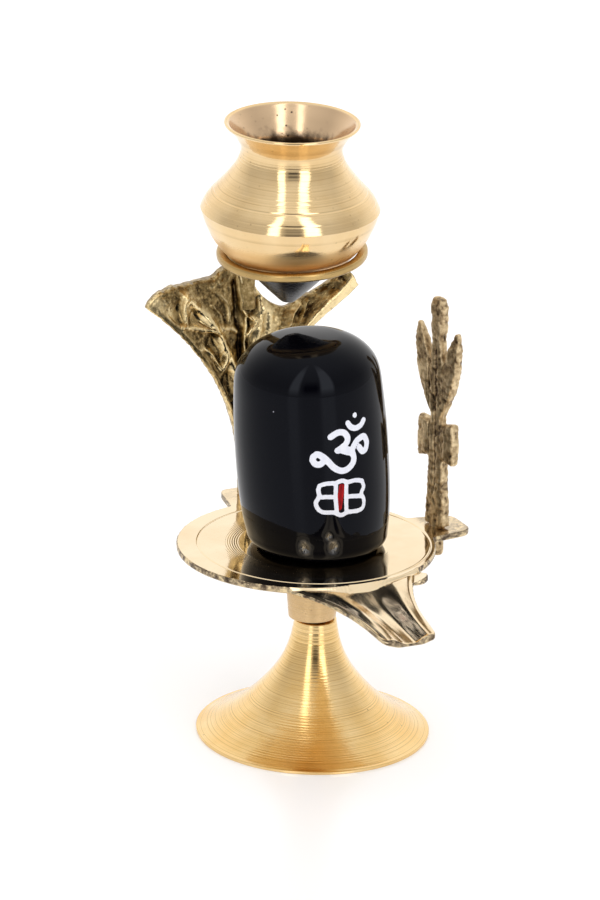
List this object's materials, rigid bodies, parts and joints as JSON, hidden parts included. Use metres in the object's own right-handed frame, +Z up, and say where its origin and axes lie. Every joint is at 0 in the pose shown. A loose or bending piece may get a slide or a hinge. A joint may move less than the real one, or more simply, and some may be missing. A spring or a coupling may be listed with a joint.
{
  "type": "shiva lingam on a brass stand",
  "caption": "Small brass temple stand: black stone lingam on a spouted dish, with a cobra hood behind, a water pot held above it in a ring, and a trident at the side.",
  "frame": {"origin": "under the middle of the whole stand's box, on the surface that the foot stands on", "axes": "+Z up; the spout points along -Y, the cobra hood stands at +Y and the trident at +X"},
  "size_m": [0.0736, 0.1104, 0.1502],
  "materials": {
    "turned_brass": "turned and polished, fine lathe rings",
    "dish_brass": "polished face, rough cast rim",
    "black_stone": "polished black stone with painted signs",
    "cast_brass": "as cast, aged",
    "ring_brass": "polished",
    "pot_brass": "turned and polished",
    "rough_brass": "rough sand cast"
  },
  "bodies": {
    "root": {"foot": "turned_brass", "yoni_plate": "dish_brass", "lingam": "black_stone", "naga_hood": "cast_brass", "pot_ring": "ring_brass", "kalash": "pot_brass", "trishul": "rough_brass"}
  },
  "joints": []
}
